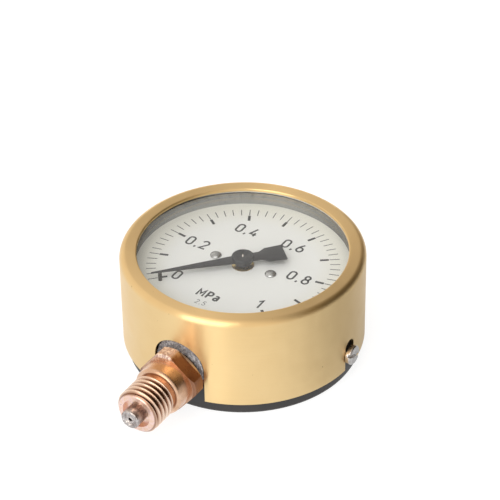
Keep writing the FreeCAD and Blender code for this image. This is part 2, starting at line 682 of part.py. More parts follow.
# ---------------------------------------------------------------- pointer
def pointer():
    z = POINTER_Z
    half_root, half_tip = BLADE_ROOT_W / 2, BLADE_TIP_W / 2
    outline = [
        (0, -half_root), (HUB_R, -half_root), (POINTER_TIP, -half_tip), (POINTER_TIP, half_tip),
        (HUB_R, half_root), (0, half_root), (-TAIL_NECK_END, TAIL_NECK_W / 2),
        (-TAIL_NECK_END - TAIL_FLARE, TAIL_W / 2), (-TAIL_END, TAIL_END_W / 2), (-TAIL_END, -TAIL_END_W / 2),
        (-TAIL_NECK_END - TAIL_FLARE, -TAIL_W / 2), (-TAIL_NECK_END, -TAIL_NECK_W / 2),
    ]
    wire = Part.makePolygon([Vec(x, y, z) for x, y in outline + outline[:1]])
    blade = Part.Face(wire).extrude(Vec(0, 0, POINTER_T))
    edge = 0.4
    hub = spun_polygon([(0, z), (HUB_R, z), (HUB_R, HUB_TOP_Z - edge), (HUB_R - edge, HUB_TOP_Z),
                        (0, HUB_TOP_Z)])
    body = fused([blade, hub]).cut(disc(SHAFT_R, 0, HUB_TOP_Z - 0.5))
    body.rotate(Vec(0, 0, 0), Z_AXIS, POINTER_REST)
    return body


def pointer_bush():
    return ring(1.6, SHAFT_R, DIAL_TOP_Z + 0.9, POINTER_Z)


# ---------------------------------------------------------------- output
NODES = {
    "rear_case": rear_case,
    "front_cover": front_cover,
    "cover_screws": cover_screws,
    "window_seal": window_seal,
    "window_glass": window_glass,
    "spacer_ring": spacer_ring,
    "dial_plate": dial_plate,
    "dial_screws": dial_screws,
    "zero_stop_pin": zero_stop_pin,
    "socket_stem": socket_stem,
    "inlet_nipple": inlet_nipple,
    "stem_seal": stem_seal,
    "socket_screws": socket_screws,
    "bourdon_tube": bourdon_tube,
    "tube_end_piece": tube_end_piece,
    "tip_link_pin": tip_link_pin,
    "connecting_link": connecting_link,
    "sector_gear": sector_gear,
    "sector_arbor": sector_arbor,
    "sector_link_pin": sector_link_pin,
    "movement_back_plate": movement_back_plate,
    "movement_front_plate": movement_front_plate,
    "centre_bush": centre_bush,
    "movement_pillars": movement_pillars,
    "movement_screws": movement_screws,
    "movement_mount_screws": movement_mount_screws,
    "hairspring": hairspring,
    "hairspring_stud": hairspring_stud,
    "hairspring_collet": hairspring_collet,
    "pinion_arbor": pinion_arbor,
    "pointer": pointer,
    "pointer_bush": pointer_bush,
}


def main():
    os.makedirs("parts", exist_ok=True)
    for name, make in NODES.items():
        shape = make()
        shape.exportStep(f"parts/{name}.step")
        print(name, "solids", len(shape.Solids), "valid", shape.isValid(), "mm3", round(shape.Volume, 2))


main()
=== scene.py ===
"""Looks of a 63 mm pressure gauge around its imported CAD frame.

The shapes are written in millimetres, in the frame's own axes: +Z out of the dial, +Y to 12 o'clock,
the stem along -Y. They are scaled to metres when a mesh is made.
"""

import json
from math import acos, atan2, cos, hypot, pi, radians, sin, tan

import bmesh
import bpy
from mathutils import Matrix, Vector
from mathutils import noise as mnoise


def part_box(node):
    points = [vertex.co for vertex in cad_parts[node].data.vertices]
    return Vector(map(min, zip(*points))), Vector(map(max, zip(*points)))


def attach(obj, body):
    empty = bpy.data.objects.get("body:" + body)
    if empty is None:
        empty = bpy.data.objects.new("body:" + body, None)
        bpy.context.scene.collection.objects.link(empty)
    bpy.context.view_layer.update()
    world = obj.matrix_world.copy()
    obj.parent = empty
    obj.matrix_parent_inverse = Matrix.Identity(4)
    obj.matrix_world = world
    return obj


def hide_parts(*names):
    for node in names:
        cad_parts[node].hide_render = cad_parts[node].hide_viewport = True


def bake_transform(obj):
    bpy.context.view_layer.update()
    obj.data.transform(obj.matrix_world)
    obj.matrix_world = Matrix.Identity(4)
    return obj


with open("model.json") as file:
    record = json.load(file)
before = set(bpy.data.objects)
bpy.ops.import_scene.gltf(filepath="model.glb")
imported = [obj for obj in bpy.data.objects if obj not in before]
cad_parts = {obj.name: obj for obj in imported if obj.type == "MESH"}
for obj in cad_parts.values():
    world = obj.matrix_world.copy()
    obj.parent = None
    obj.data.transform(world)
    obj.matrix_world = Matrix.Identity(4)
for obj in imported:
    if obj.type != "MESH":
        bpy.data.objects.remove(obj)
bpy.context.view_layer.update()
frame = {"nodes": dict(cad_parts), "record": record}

MM = 0.001
ROUND = 192          # segments round a turned part
COVER_ROUND = 256    # segments round the cover
SMALL_ROUND = 64     # segments round a screw or a pin


def span(node):
    """Lowest and highest corner of a CAD node, in millimetres."""
    low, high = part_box(node)
    return low / MM, high / MM


# ---------------------------------------------------------------- sizes read from the frame
COVER_LOW, COVER_HIGH = span("front_cover")
COVER_R = COVER_HIGH.y
COVER_BOTTOM, COVER_TOP = COVER_LOW.z, COVER_HIGH.z
DIAL_TOP = span("dial_plate")[1].z
POINTER_LOW, POINTER_HIGH = span("pointer")
NIPPLE_LOW, NIPPLE_HIGH = span("inlet_nipple")
STEM_Z = (NIPPLE_LOW.z + NIPPLE_HIGH.z) / 2
SCREW_LOW, SCREW_HIGH = span("cover_screws")
SCREW_Z = (SCREW_LOW.z + SCREW_HIGH.z) / 2
DIAL_SCREW_LOW, DIAL_SCREW_HIGH = span("dial_screws")
DIAL_SCREW_R = 1.5
DIAL_SCREW_X = (DIAL_SCREW_HIGH.x - DIAL_SCREW_LOW.x) / 2 - DIAL_SCREW_R
PIN_LOW, PIN_HIGH = span("zero_stop_pin")

# ---------------------------------------------------------------- sizes of the looks, in millimetres
COVER_WALL = 0.8
COVER_EDGE_R = 1.7
LIP_INNER_R, LIP_EDGE_R = 27.1, 0.3
STEM_SLOT_HALF_W, STEM_SLOT_TOP = 7.25, 20.2
SCREW_SLOT_HALF_W, SCREW_SLOT_TOP = 2.1, 12.2
SLOT_DEPTHS = (20, 40)     # distances from the axis that a slot's cutter runs between

WRENCH_START, COLLAR_START, THREAD_START, STEM_END = 31.9, 36.3, 41.0, 50.2
THREAD_R, THREAD_ROOT_R, FACE_RECESS_R = 5.97, 5.05, 3.9
WRENCH_ACROSS, WRENCH_CORNER_R = 14.0, 8.25

SCALE_START, SCALE_SWEEP = 225.0, 270.0
SCALE_STEPS, STEPS_PER_MAJOR = 50, 5
TICK_IN, TICK_OUT, TICK_W = 22.3, 24.85, 0.22
BAR_IN, BAR_OUT, BAR_W = 19.8, 22.1, 0.72
INK_T, INK_SINK = 0.02, 0.005
FIGURE_H, FIGURE_STROKE = 3.3, 0.52
FIGURE_R, END_FIGURE_R = 15.4, 17.2
UNIT_H, UNIT_STROKE, UNIT_PLACE = 2.6, 0.56, (-0.7, -15.4)
CLASS_H, CLASS_STROKE, CLASS_PLACE = 1.5, 0.15, (-0.8, -19.0)

POINTER_REST = 225.6
POINTER_TIP, BLADE_ROOT_W, BLADE_TIP_W = 24.0, 3.2, 0.35
TAIL_NECK_W, TAIL_NECK_END = 3.3, 4.6
TAIL_W, TAIL_FLARE, TAIL_END, TAIL_END_W = 5.7, 1.7, 11.0, 6.4
HUB_R = 2.9
SHADE_AXIS = 31.8      # azimuth, in degrees, along which painted shade darkens the window ring and its seal
TUBE_THICK, TUBE_STEPS = 2.4, 134
TUBE_TIP_ANGLE, TUBE_ROOT_ANGLE = -12.0, 256.0
SKIRT_R, SKIRT_BORE_R, SKIRT_Z = 2.15, 1.65, 23.9


# ---------------------------------------------------------------- mesh helpers
def arc_points(cx, cy, rx, ry, a0, a1, steps):
    """Points on an ellipse from angle a0 to a1, in degrees."""
    return [(cx + rx * cos(radians(a0 + (a1 - a0) * i / steps)),
             cy + ry * sin(radians(a0 + (a1 - a0) * i / steps))) for i in range(steps + 1)]


def rounded(corners, closed=True, steps=6):
    """Outline with its corners rounded: corners are (x, y, radius)."""
    out = []
    count = len(corners)
    for i, (x, y, r) in enumerate(corners):
        if r <= 0 or (not closed and i in (0, count - 1)):
            out.append((x, y))
            continue
        before, here, after = (Vector(corners[(i + k) % count][:2]) for k in (-1, 0, 1))
        to_before, to_after = (before - here).normalized(), (after - here).normalized()
        half = acos(max(-1, min(1, to_before.dot(to_after)))) / 2
        centre = here + (to_before + to_after).normalized() * (r / sin(half))
        start = here + to_before * (r / tan(half)) - centre
        end = here + to_after * (r / tan(half)) - centre
        a0 = atan2(start.y, start.x)
        turn = (atan2(end.y, end.x) - a0 + pi) % (2 * pi) - pi
        for k in range(steps + 1):
            a = a0 + turn * k / steps
            out.append((centre.x + r * cos(a), centre.y + r * sin(a)))
    return out


def build(name, verts, faces):
    """Mesh object from millimetres, with its normals outwards."""
    mesh = bpy.data.meshes.new(name)
    mesh.from_pydata([Vector(v) * MM for v in verts], [], faces)
    mesh.update()
    obj = bpy.data.objects.new(name, mesh)
    bpy.context.scene.collection.objects.link(obj)
    tidy_normals(obj)
    return obj


def tidy_normals(obj):
    """Merges doubled points and turns the faces outwards."""
    bm = bmesh.new()
    bm.from_mesh(obj.data)
    bmesh.ops.remove_doubles(bm, verts=bm.verts, dist=1e-7)
    bmesh.ops.recalc_face_normals(bm, faces=bm.faces)
    bm.to_mesh(obj.data)
    bm.free()


def lathe(name, profile, segments=ROUND):
    """Solid of revolution about Z from a closed (radius, z) outline; points on the axis become poles."""
    verts, rows = [], []
    for r, z in profile:
        if r < 1e-6:
            rows.append([len(verts)])
            verts.append((0, 0, z))
        else:
            rows.append(list(range(len(verts), len(verts) + segments)))
            verts += [(r * cos(2 * pi * k / segments), r * sin(2 * pi * k / segments), z)
                      for k in range(segments)]
    faces = []
    for i, row in enumerate(rows):
        after = rows[(i + 1) % len(rows)]
        for k in range(segments):
            j = (k + 1) % segments
            if len(row) == 1 and len(after) == 1:
                break
            if len(row) == 1:
                faces.append((row[0], after[k], after[j]))
            elif len(after) == 1:
                faces.append((row[k], after[0], row[j]))
            else:
                faces.append((row[k], after[k], after[j], row[j]))
    return build(name, verts, faces)


def prism(name, outline, z0, z1):
    """Outline in XY, pulled from z0 to z1."""
    count = len(outline)
    verts = [(x, y, z0) for x, y in outline] + [(x, y, z1) for x, y in outline]
    faces = [tuple(range(count)), tuple(range(count, 2 * count))]
    faces += [(i, (i + 1) % count, (i + 1) % count + count, i + count) for i in range(count)]
    return build(name, verts, faces)


def moved(obj, matrix):
    """Moves the mesh, not the object, so that object coordinates stay the frame's."""
    obj.data.transform(matrix)
    return obj


def placed(obj, x, y, z):
    return moved(obj, Matrix.Translation(Vector((x, y, z)) * MM))


def turned(obj, angle, axis="Z"):
    return moved(obj, Matrix.Rotation(radians(angle), 4, axis))


def apply_modifiers(obj):
    """Gives obj the mesh that its modifiers make."""
    graph = bpy.context.evaluated_depsgraph_get()
    mesh = bpy.data.meshes.new_from_object(obj.evaluated_get(graph))
    obj.modifiers.clear()
    old = obj.data
    obj.data = mesh
    mesh.name = obj.name
    bpy.data.meshes.remove(old)
    return obj


def cut(obj, *cutters):
    """Takes the cutters out of obj, and deletes them."""
    for cutter in cutters:
        modifier = obj.modifiers.new("cut", "BOOLEAN")
        modifier.operation = "DIFFERENCE"
        modifier.solver = "EXACT"
        modifier.object = cutter
    apply_modifiers(obj)
    for cutter in cutters:
        bpy.data.objects.remove(cutter)
    return obj


def bevel(obj, width, segments=2, angle=35):
    modifier = obj.modifiers.new("bevel", "BEVEL")
    modifier.width = width * MM
    modifier.segments = segments
    modifier.limit_method = "ANGLE"
    modifier.angle_limit = radians(angle)
    modifier.harden_normals = False
    return apply_modifiers(obj)


def joined(name, pieces):
    """One mesh of several pieces."""
    bm = bmesh.new()
    for piece in pieces:
        bm.from_mesh(piece.data)
        bpy.data.objects.remove(piece)
    mesh = bpy.data.meshes.new(name)
    bm.to_mesh(mesh)
    bm.free()
    obj = bpy.data.objects.new(name, mesh)
    bpy.context.scene.collection.objects.link(obj)
    return obj


def smooth(obj, angle=35):
    obj.data.polygons.foreach_set("use_smooth", [True] * len(obj.data.polygons))
    obj.data.set_sharp_from_angle(angle=radians(angle))
    return obj


def finish_piece(obj, material, body, replaces=None, angle=35):
    """Shading, material and body of a piece, and hides the CAD node that the piece stands for."""
    smooth(obj, angle)
    obj.data.materials.clear()
    obj.data.materials.append(material)
    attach(obj, body)
    if replaces:
        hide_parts(replaces)
    return obj


# ---------------------------------------------------------------- material helpers
def fill_ramp(node, stops):
    """Sets a colour ramp's stops: each is (position, colour or grey)."""
    points = node.color_ramp.elements
    while len(points) < len(stops):
        points.new(0.5)
    for point, (position, colour) in zip(points, stops):
        grey = isinstance(colour, (int, float))
        point.position = position
        point.color = (colour, colour, colour, 1) if grey else (*colour, 1)


class Nodes:
    """A material with a Principled shader, and short calls to add nodes to it."""

    def __init__(self, name):
        self.material = bpy.data.materials.new(name)
        self.material.use_nodes = True
        self.tree = self.material.node_tree
        self.shader = self.tree.nodes["Principled BSDF"]
        self.output = self.tree.nodes["Material Output"]

    def add(self, kind, **settings):
        node = self.tree.nodes.new(kind)
        for key, value in settings.items():
            setattr(node, key, value)
        return node

    def link(self, source, target):
        self.tree.links.new(source, target)

    def place(self, scale):
        """Object coordinates, stretched by scale."""
        where = self.add("ShaderNodeTexCoord")
        mapping = self.add("ShaderNodeMapping")
        mapping.inputs["Scale"].default_value = scale
        self.link(where.outputs["Object"], mapping.inputs["Vector"])
        return mapping.outputs["Vector"]

    def noise(self, scale, detail=3.0, rough=0.55, stretch=(1, 1, 1)):
        node = self.add("ShaderNodeTexNoise")
        node.inputs["Scale"].default_value = scale
        node.inputs["Detail"].default_value = detail
        node.inputs["Roughness"].default_value = rough
        self.link(self.place(stretch), node.inputs["Vector"])
        return node.outputs["Fac"]

    def ramp(self, value, stops):
        node = self.add("ShaderNodeValToRGB")
        fill_ramp(node, stops)
        self.link(value, node.inputs["Fac"])
        return node.outputs["Color"]

    def mix(self, factor, a, b, blend="MIX"):
        node = self.add("ShaderNodeMix", data_type="RGBA", blend_type=blend)
        for value, key in ((factor, "Factor"), (a, "A"), (b, "B")):
            socket = node.inputs[key]
            if isinstance(value, bpy.types.NodeSocket):
                self.link(value, socket)
            elif socket.type == "RGBA":
                socket.default_value = (*value, 1)
            else:
                socket.default_value = value
        return node.outputs["Result"]

    def math(self, operation, a, b=0.0, c=0.0):
        node = self.add("ShaderNodeMath", operation=operation)
        for value, socket in zip((a, b, c), node.inputs):
            if isinstance(value, bpy.types.NodeSocket):
                self.link(value, socket)
            else:
                socket.default_value = value
        return node.outputs["Value"]

    def here(self):
        """X, Y and Z of the shaded point, as sockets in metres."""
        where = self.add("ShaderNodeTexCoord")
        split = self.add("ShaderNodeSeparateXYZ")
        self.link(where.outputs["Object"], split.inputs["Vector"])
        return [split.outputs[axis] for axis in "XYZ"]

    def distance(self, a, b):
        """Length of the hypotenuse of two sockets."""
        squares = self.math("ADD", self.math("MULTIPLY", a, a), self.math("MULTIPLY", b, b))
        return self.math("SQRT", squares)

    def radius(self):
        """Distance from the gauge's axis, as a socket in metres."""
        x, y, _ = self.here()
        return self.distance(x, y)

    def along(self, azimuth):
        """Place along a level direction, as a socket in metres."""
        x, y, _ = self.here()
        x_part = self.math("MULTIPLY", x, cos(radians(azimuth)))
        return self.math("MULTIPLY_ADD", y, sin(radians(azimuth)), x_part)

    def stem_place(self):
        """Distance from the stem's axis, the place along it and the height, as sockets in metres."""
        x, y, z = self.here()
        up = self.math("SUBTRACT", z, STEM_Z * MM)
        return self.distance(x, up), y, z

    def share(self, value, start, end):
        """0 at start and 1 at end, which are in millimetres, clamped."""
        node = self.add("ShaderNodeMapRange")
        self.link(value, node.inputs["Value"])
        node.inputs["From Min"].default_value = start * MM
        node.inputs["From Max"].default_value = end * MM
        return node.outputs["Result"]

    def bump(self, height, strength, distance=0.02):
        """height is 0 to 1, distance is in millimetres."""
        node = self.add("ShaderNodeBump")
        node.inputs["Strength"].default_value = strength
        node.inputs["Distance"].default_value = distance * MM
        self.link(height, node.inputs["Height"])
        normal = self.shader.inputs["Normal"]
        if normal.is_linked:
            self.link(normal.links[0].from_socket, node.inputs["Normal"])
        self.link(node.outputs["Normal"], normal)

    def set(self, name, value):
        socket = self.shader.inputs[name]
        if isinstance(value, bpy.types.NodeSocket):
            self.link(value, socket)
        else:
            socket.default_value = value


def metal(name, light, dark, rough, patch, grain, grain_bump):
    """Metal with cloudy tarnish, a fine grain and roughness that follows the tarnish."""
    n = Nodes(name)
    cloud = n.noise(patch, 4, 0.6)
    fine = n.noise(grain, 2, 0.5)
    colour = n.mix(n.ramp(cloud, [(0.35, 0.0), (0.65, 1.0)]), dark, light)
    n.set("Base Color", n.mix(0.12, colour, n.ramp(fine, [(0.3, 0.4), (0.7, 1.0)]), "MULTIPLY"))
    n.set("Metallic", 1.0)
    n.set("Roughness", n.ramp(cloud, [(0.3, rough[1]), (0.7, rough[0])]))
    n.bump(fine, grain_bump, 0.01)
    return n.material


def cover_gold():
    """Gold anodised aluminium: fine turning lines round the axis spread reflections across them."""
    n = Nodes("cover_gold")
    lines = n.noise(1.0, 2, 0.5, (60, 60, 9000))
    cloud = n.noise(60, 3, 0.5)
    smudge = n.noise(260, 4, 0.6)
    colour = n.mix(n.ramp(cloud, [(0.3, 0.0), (0.7, 1.0)]), (0.87, 0.60, 0.28), (0.91, 0.64, 0.31))
    specks = n.ramp(n.noise(1100, 2, 0.5), [(0.76, 0.0), (0.80, 0.7)])
    lined = n.mix(0.08, colour, n.ramp(lines, [(0.3, 0.75), (0.7, 1.0)]), "MULTIPLY")
    n.set("Base Color", n.mix(specks, lined, (0.30, 0.17, 0.07)))
    n.set("Metallic", 1.0)
    n.set("Roughness", n.ramp(smudge, [(0.3, 0.30), (0.7, 0.36)]))
    n.set("Anisotropic", 0.93)
    n.set("Anisotropic Rotation", 0.25)
    round_axis = n.add("ShaderNodeTangent", direction_type="RADIAL", axis="Z")
    n.link(round_axis.outputs["Tangent"], n.shader.inputs["Tangent"])
    n.bump(n.noise(5200, 2, 0.5), 0.06, 0.004)
    return n.material


def stem_copper():
    """Turned copper alloy: dark in the thread's roots and on the flats, bright on crests; painted
    highlights on the upper corners, on a strip along the flats' case-side edge and on the upper-left
    flat.
    """
    n = Nodes("stem_copper")
    rings = n.noise(1.0, 3, 0.6, (120, 5200, 120))
    tarnish = n.noise(170, 5, 0.65)
    spots = n.noise(1400, 3, 0.6)
    radius, along, height_z = n.stem_place()
    dark, brown = (0.26, 0.11, 0.06), (0.66, 0.38, 0.22)
    rose, pale = (0.88, 0.59, 0.42), (0.95, 0.72, 0.55)
    mauve, face_rose, spot_brown = (0.50, 0.34, 0.30), (0.94, 0.66, 0.58), (0.30, 0.14, 0.09)
    flat_left, blend = (1.4, 0.8), 0.05
    turned_face = n.mix(n.ramp(tarnish, [(0.34, 0.0), (0.66, 1.0)]), brown, rose)
    height = n.share(radius, THREAD_ROOT_R, THREAD_R)
    crest = n.mix(n.ramp(tarnish, [(0.4, 0.0), (0.7, 1.0)]), rose, pale)
    thread = n.mix(n.ramp(height, [(0.25, 0.0), (0.9, 1.0)]), dark, crest)
    # Height mask for the painted highlights below: only the top side, where the light falls, is painted
    # lighter.
    upper = n.share(height_z, STEM_Z + 1.0, STEM_Z + 5.0)
    corner = n.math("MULTIPLY", n.share(radius, WRENCH_ACROSS / 2, WRENCH_CORNER_R), upper)
    # Painted highlight on the upper corners of the wrench square, mixed with random tarnish.
    tarnish_and_corner_light = n.math("ADD", corner, n.math("MULTIPLY", n.math("SUBTRACT", tarnish, 0.5), 2.2))
    tarnished = n.mix(n.ramp(tarnish, [(0.35, 0.0), (0.75, 0.3)]), dark, brown)
    flats = n.mix(n.ramp(tarnish_and_corner_light, [(0.55, 0.0), (0.95, 1.0)]), tarnished, rose)
    before_collar = n.share(along, -COLLAR_START - blend, -COLLAR_START + blend)
    # Painted highlight: the upper-left flat is painted a lighter speckled mauve and pale, and is less
    # metallic below.
    on_left = n.math("MULTIPLY", n.share(n.along(0.0), *flat_left), before_collar)
    speckle = n.ramp(spots, [(0.40, 0.55), (0.56, 1.0)])
    lit_left_flat = n.math("MULTIPLY", n.math("MULTIPLY", on_left, upper), speckle)
    flats = n.mix(lit_left_flat, flats, n.mix(n.ramp(spots, [(0.48, 0.0), (0.62, 1.0)]), mauve, pale))
    # Painted highlight: a pale strip along the flats' case-side edge, on the upper side only.
    edge_highlight = n.math("MULTIPLY", n.share(along, -WRENCH_START - 0.9, -WRENCH_START - 0.7), upper)
    flats = n.mix(edge_highlight, flats, pale)
    behind_thread = n.share(along, -THREAD_START - 0.7, -THREAD_START - 1.0)
    behind_collar = n.share(along, -COLLAR_START + blend, -COLLAR_START - blend)
    outer_face = n.share(along, -STEM_END + 0.35, -STEM_END + 0.1)
    recess = n.math("MULTIPLY", n.share(along, -STEM_END + 1.5, -STEM_END + 1.3),
                    n.share(radius, FACE_RECESS_R + 0.3, FACE_RECESS_R + 0.1))
    face_colour = n.mix(n.ramp(spots, [(0.4, 0.0), (0.6, 1.0)]), rose, face_rose)
    colour = n.mix(behind_collar, flats, turned_face)
    colour = n.mix(behind_thread, colour, thread)
    colour = n.mix(n.math("MAXIMUM", outer_face, recess), colour, face_colour)
    spotted = n.mix(n.ramp(spots, [(0.62, 0.0), (0.72, 0.4)]), colour, spot_brown)
    n.set("Base Color", n.mix(0.30, spotted, n.ramp(rings, [(0.35, 0.6), (0.65, 1.0)]), "MULTIPLY"))
    # Less metallic on the upper-left flat that is painted lighter.
    n.set("Metallic", n.math("MULTIPLY_ADD", lit_left_flat, -0.7, 1.0))
    n.set("Roughness", n.ramp(tarnish, [(0.3, 0.36), (0.7, 0.18)]))
    n.bump(rings, 0.35, 0.012)
    n.bump(spots, 0.15, 0.02)
    return n.material


def case_black():
    """Moulded black plastic with a fine texture and a little dust."""
    n = Nodes("case_black")
    dust = n.noise(900, 3, 0.6)
    cloud = n.noise(80, 3, 0.5)
    base = n.mix(n.ramp(cloud, [(0.3, 0.0), (0.7, 1.0)]), (0.018, 0.016, 0.015), (0.034, 0.030, 0.028))
    n.set("Base Color", n.mix(n.ramp(dust, [(0.66, 0.0), (0.78, 0.35)]), base, (0.16, 0.15, 0.14)))
    n.set("Roughness", n.ramp(cloud, [(0.3, 0.42), (0.7, 0.55)]))
    n.bump(n.noise(2600, 2, 0.5), 0.35, 0.02)
    return n.material


def dial_white():
    """White stove enamel, a little creamier outside the scale, with a very fine grain."""
    n = Nodes("dial_white")
    outer = n.ramp(n.math("MULTIPLY", n.radius(), 1 / (30.0 * MM)), [(0.62, 0.0), (0.86, 1.0)])
    paint = n.mix(outer, (0.81, 0.815, 0.80), (0.80, 0.785, 0.705))
    cloud = n.noise(70, 3, 0.5)
    n.set("Base Color", n.mix(0.05, paint, n.ramp(cloud, [(0.3, 0.7), (0.7, 1.0)]), "MULTIPLY"))
    n.set("Roughness", n.ramp(n.noise(400, 3), [(0.3, 0.42), (0.7, 0.52)]))
    n.bump(n.noise(3800, 2, 0.5), 0.12, 0.01)
    return n.material


def dial_ink():
    """Screen-printed dark grey ink, thin in places."""
    n = Nodes("dial_ink")
    thin = n.noise(2600, 3, 0.6)
    wear = n.ramp(thin, [(0.35, 0.0), (0.75, 1.0)])
    n.set("Base Color", n.mix(wear, (0.010, 0.010, 0.012), (0.040, 0.040, 0.042)))
    n.set("Roughness", n.ramp(thin, [(0.3, 0.45), (0.7, 0.65)]))
    n.bump(thin, 0.2, 0.004)
    return n.material


def pointer_black():
    """Black lacquer on sheet metal, with a cloudy tone and dust."""
    n = Nodes("pointer_black")
    cloud = n.noise(240, 4, 0.6)
    dust = n.noise(2600, 3, 0.6)
    base = n.mix(n.ramp(cloud, [(0.3, 0.0), (0.7, 1.0)]), (0.008, 0.008, 0.009), (0.020, 0.020, 0.023))
    n.set("Base Color", n.mix(n.ramp(dust, [(0.64, 0.0), (0.78, 0.5)]), base, (0.13, 0.13, 0.13)))
    n.set("Roughness", n.ramp(cloud, [(0.3, 0.38), (0.7, 0.55)]))
    n.bump(n.noise(3000, 2), 0.2, 0.01)
    return n.material


def window_glass():
    """Flat clear glass that bends what is behind it and lets the lamps through."""
    n = Nodes("window_glass")
    n.set("Base Color", (0.97, 0.985, 0.98, 1))
    n.set("Transmission Weight", 1.0)
    n.set("IOR", 1.5)
    n.set("Roughness", n.ramp(n.noise(500, 4, 0.6), [(0.55, 0.0), (0.9, 0.03)]))
    clear = n.add("ShaderNodeBsdfTransparent")
    path = n.add("ShaderNodeLightPath")
    mix = n.add("ShaderNodeMixShader")
    soft_ray = n.math("MAXIMUM", path.outputs["Is Shadow Ray"], path.outputs["Is Diffuse Ray"])
    n.link(soft_ray, mix.inputs["Fac"])
    n.link(n.shader.outputs["BSDF"], mix.inputs[1])
    n.link(clear.outputs["BSDF"], mix.inputs[2])
    n.link(mix.outputs["Shader"], n.output.inputs["Surface"])
    return n.material


def seal_pale():
    """Pale rubber gasket, a little yellowed, with painted shadow darkening it along one side."""
    n = Nodes("seal_pale")
    cloud = n.noise(700, 3, 0.6)
    rubber = n.ramp(cloud, [(0.3, (0.50, 0.50, 0.45)), (0.7, (0.66, 0.66, 0.62))])
    # Painted shadow: nearly black on the side away from the shade axis azimuth, fading out towards the
    # middle.
    painted_shadow = n.math("MULTIPLY", n.share(n.along(SHADE_AXIS), 0.0, -14.0), 0.96)
    n.set("Base Color", n.mix(painted_shadow, rubber, (0.012, 0.011, 0.010)))
    n.set("Roughness", n.ramp(cloud, [(0.3, 0.35), (0.7, 0.5)]))
    n.bump(cloud, 0.3, 0.02)
    return n.material


def seal_grey():
    """Hardened grey sealing compound: gritty, with dark pores and pale crumbs."""
    n = Nodes("seal_grey")
    grit = n.noise(1500, 5, 0.7)
    pores = n.noise(3600, 3, 0.6)
    black, grey, pale = (0.07, 0.065, 0.07), (0.26, 0.25, 0.26), (0.62, 0.60, 0.60)
    base = n.ramp(grit, [(0.30, black), (0.50, grey), (0.68, pale)])
    n.set("Base Color", n.mix(n.ramp(pores, [(0.30, 0.7), (0.45, 0.0)]), base, (0.03, 0.028, 0.028)))
    n.set("Roughness", n.ramp(grit, [(0.3, 0.85), (0.7, 0.6)]))
    n.bump(grit, 0.9, 0.15)
    n.bump(pores, 0.6, 0.06)
    return n.material


def spacer_grey():
    """Grey satin ring between the glass and the dial, brushed round its wall, with painted shade
    darkening it at two sides.
    """
    n = Nodes("spacer_grey")
    lines = n.noise(1.0, 2, 0.5, (80, 80, 7000))
    cloud = n.noise(150, 3, 0.5)
    base = n.mix(n.ramp(cloud, [(0.3, 0.0), (0.7, 1.0)]), (0.37, 0.375, 0.385), (0.41, 0.415, 0.425))
    # Painted shade: the ring is darkened at both ends of the line along the shade axis.
    far = n.math("ABSOLUTE", n.along(SHADE_AXIS + 90))
    base = n.mix(n.share(far, 6.0, 22.0), (0.13, 0.128, 0.13), base)
    n.set("Base Color", n.mix(0.25, base, n.ramp(lines, [(0.3, 0.6), (0.7, 1.0)]), "MULTIPLY"))
    n.set("Metallic", 1.0)
    n.set("Roughness", n.ramp(cloud, [(0.3, 0.20), (0.7, 0.23)]))
    n.bump(lines, 0.12, 0.004)
    return n.material


METALS = {
    # light and dark colour, roughness of each, scale of the patches and of the grain, grain bump
    "screw_steel": ((0.72, 0.66, 0.60), (0.46, 0.40, 0.36), (0.16, 0.32), 400, 3000, 0.25),
    "nipple_steel": ((0.70, 0.63, 0.58), (0.30, 0.25, 0.23), (0.26, 0.50), 900, 2400, 0.6),
    "pin_dark": ((0.10, 0.09, 0.08), (0.04, 0.035, 0.03), (0.35, 0.5), 500, 2500, 0.2),
    "tube_bronze": ((0.72, 0.48, 0.27), (0.50, 0.30, 0.16), (0.25, 0.4), 120, 2500, 0.15),
    "brass_plain": ((0.90, 0.70, 0.34), (0.62, 0.44, 0.19), (0.22, 0.38), 700, 2800, 0.15),
    "link_steel": ((0.60, 0.60, 0.60), (0.42, 0.42, 0.42), (0.25, 0.4), 300, 2800, 0.2),
    "spring_bronze": ((0.78, 0.58, 0.34), (0.56, 0.38, 0.20), (0.2, 0.35), 300, 2600, 0.1),
    "dial_screw_steel": ((0.60, 0.59, 0.585), (0.34, 0.33, 0.325), (0.10, 0.20), 500, 3000, 0.15),
}
MATERIALS = {
    "cover_gold": cover_gold(),
    "stem_copper": stem_copper(),
    "case_black": case_black(),
    "dial_white": dial_white(),
    "dial_ink": dial_ink(),
    "pointer_black": pointer_black(),
    "clear_glass": window_glass(),
    "seal_pale": seal_pale(),
    "seal_grey": seal_grey(),
    "spacer_grey": spacer_grey(),
}
MATERIALS.update({name: metal(name, *look) for name, look in METALS.items()})


def dress_cad_nodes():
    """Every CAD node gets the finish of its slot from the record."""
    for part in frame["record"]["subparts"]:
        node = frame["nodes"][part["node"]]
        node.data.materials.clear()
        node.data.materials.append(MATERIALS[part["material_slot"]])


# ---------------------------------------------------------------- front cover
def u_slot(half_w, top, depth0, depth1):
    """Cutter for an arch-topped slot open at the bottom, running along +X from depth0 to depth1."""
    outline = [(-half_w, -1.0), (half_w, -1.0)] + arc_points(0, top - half_w, half_w, half_w, 0, 180, 40)
    cutter = prism("slot_cutter", outline, depth0, depth1)
    return moved(cutter, Matrix(((0, 0, 1, 0), (1, 0, 0, 0), (0, 1, 0, 0), (0, 0, 0, 1))))


